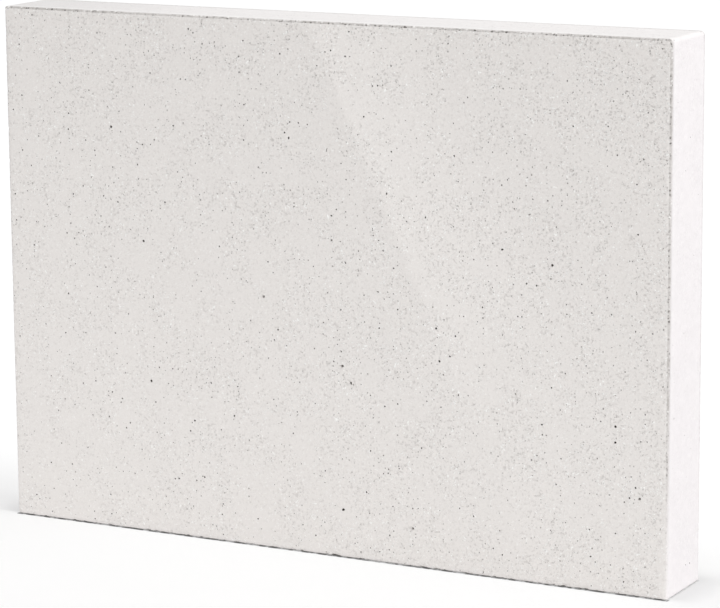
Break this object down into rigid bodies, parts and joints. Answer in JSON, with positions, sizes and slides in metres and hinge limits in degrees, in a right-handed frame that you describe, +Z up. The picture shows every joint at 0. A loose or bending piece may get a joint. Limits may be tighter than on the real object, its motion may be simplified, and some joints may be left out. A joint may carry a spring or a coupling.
{
  "type": "refractory firebrick",
  "caption": "Thin rectangular refractory firebrick slab, pressed and fired in one piece, with rounded arrises and one upper edge worn rounder.",
  "frame": {"origin": "centre of the bed, the long narrow face that the brick stands on", "axes": "+X along the length, +Y through the thickness from the front face to the back face, +Z up the height"},
  "size_m": [0.229, 0.025, 0.166],
  "materials": {
    "fired_clay": "matte, unglazed, fine-grained with small open pinholes"
  },
  "bodies": {
    "root": {"firebrick": "fired_clay"}
  },
  "joints": []
}
